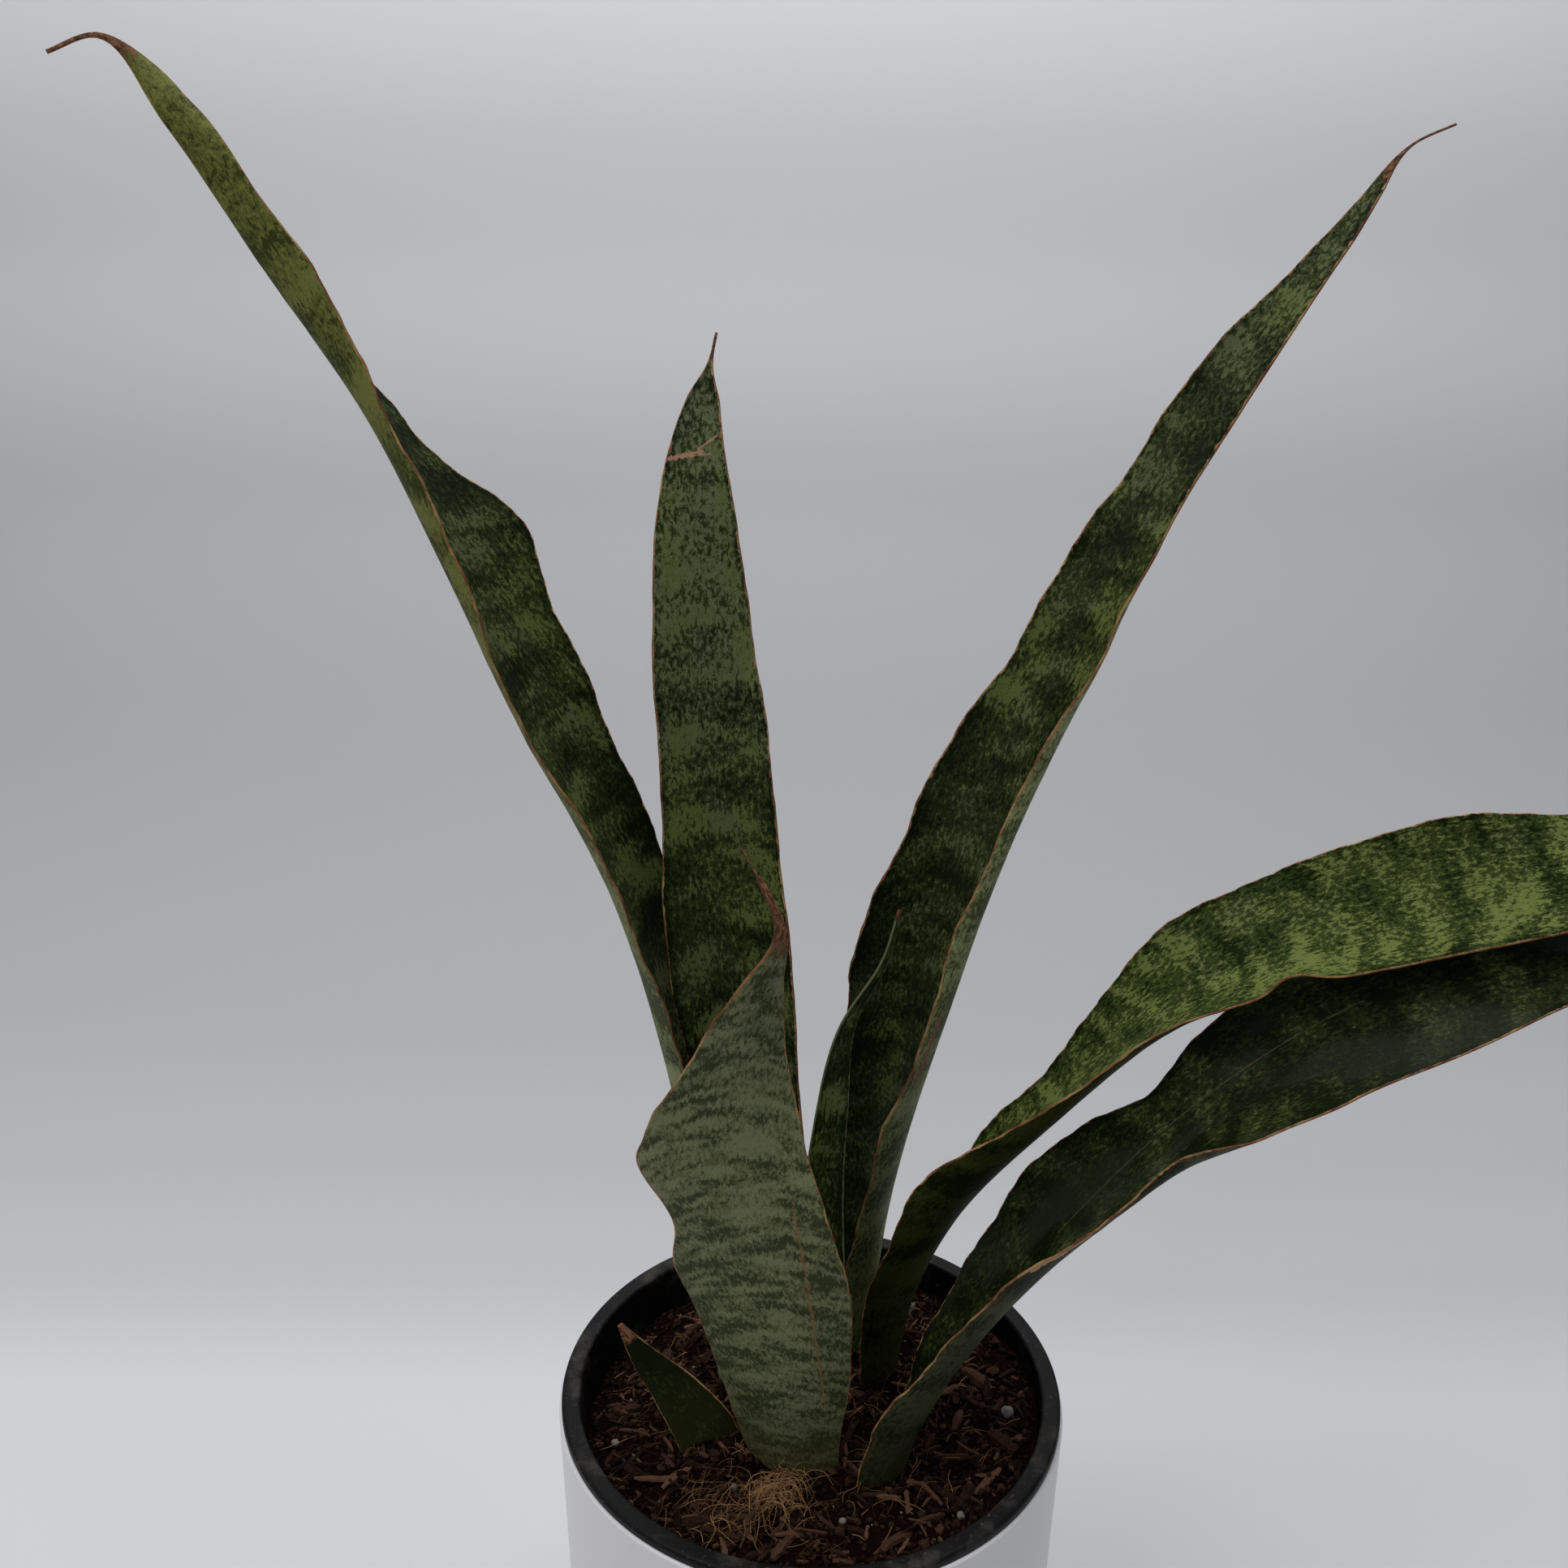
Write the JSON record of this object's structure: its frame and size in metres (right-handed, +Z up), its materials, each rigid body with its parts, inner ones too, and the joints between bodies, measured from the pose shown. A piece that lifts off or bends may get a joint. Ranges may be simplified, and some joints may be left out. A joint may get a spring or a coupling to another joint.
{
  "type": "potted snake plant",
  "caption": "Snake plant with long channelled, mottled green leaves rising and arching from dark potting mix in a black nursery pot that hangs inside a plain white cover pot.",
  "frame": {"origin": "centre of the cover pot's flat bottom", "axes": "+Z up along the pot's axis; the front is -Y, and the two arching leaves lean towards +X"},
  "size_m": [0.4586, 0.1516, 0.5105],
  "materials": {
    "white_glaze": "satin",
    "black_plastic": "satin",
    "potting_mix": "matte",
    "rhizome_skin": "matte",
    "leaf_green": "satin",
    "bark": "matte",
    "perlite": "matte"
  },
  "bodies": {
    "root": {"cover_pot": "white_glaze", "nursery_pot": "black_plastic", "potting_soil": "potting_mix", "rhizome": "rhizome_skin", "leaf_tall_left": "leaf_green", "leaf_back": "leaf_green", "leaf_tall_right": "leaf_green", "leaf_arching_upper": "leaf_green", "leaf_arching_lower": "leaf_green", "leaf_front": "leaf_green", "leaf_inner": "leaf_green", "leaf_pup": "leaf_green", "bark_chip_01": "bark", "bark_chip_02": "bark", "bark_chip_03": "bark", "bark_chip_04": "bark", "bark_chip_05": "bark", "bark_chip_06": "bark", "bark_chip_07": "bark", "bark_chip_08": "bark", "bark_chip_09": "bark", "bark_chip_10": "bark", "bark_chip_11": "bark", "bark_chip_12": "bark", "bark_chip_13": "bark", "perlite_01": "perlite", "perlite_02": "perlite", "perlite_03": "perlite", "perlite_04": "perlite", "perlite_05": "perlite", "perlite_06": "perlite"}
  },
  "joints": []
}
